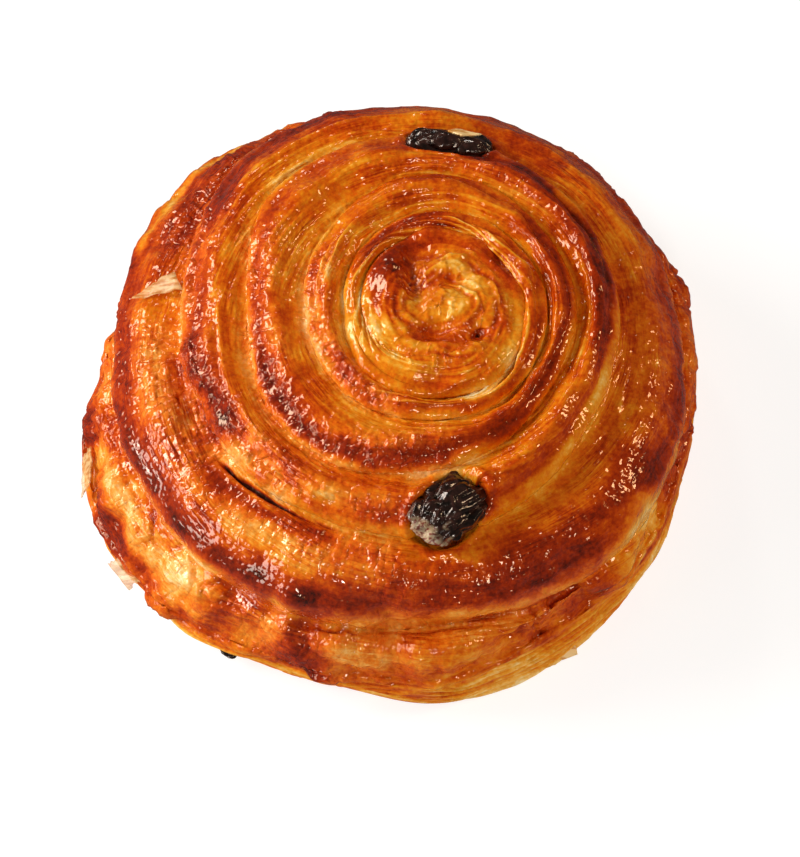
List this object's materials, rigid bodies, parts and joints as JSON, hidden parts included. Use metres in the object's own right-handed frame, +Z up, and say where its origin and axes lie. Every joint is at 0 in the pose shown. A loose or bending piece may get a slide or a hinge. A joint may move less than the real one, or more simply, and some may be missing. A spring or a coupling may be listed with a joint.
{
  "type": "raisin swirl pastry",
  "caption": "Round spiral raisin pastry: a glazed, laminated dough roll in a low dome with raisins pressed into its grooves.",
  "frame": {"origin": "centre of the object's bounding box at the height of its flat base", "axes": "+Z up, through the thickness of the pastry; +X to the right and +Y to the back as the picture shows it, with the loose tail of the roll at the left"},
  "size_m": [0.111, 0.1096, 0.0453],
  "materials": {
    "glazed_crust": null,
    "raisin_skin": null
  },
  "bodies": {
    "root": {"pastry": "glazed_crust", "raisin_front": "raisin_skin", "raisin_back": "raisin_skin", "raisin_rim": "raisin_skin"}
  },
  "joints": []
}
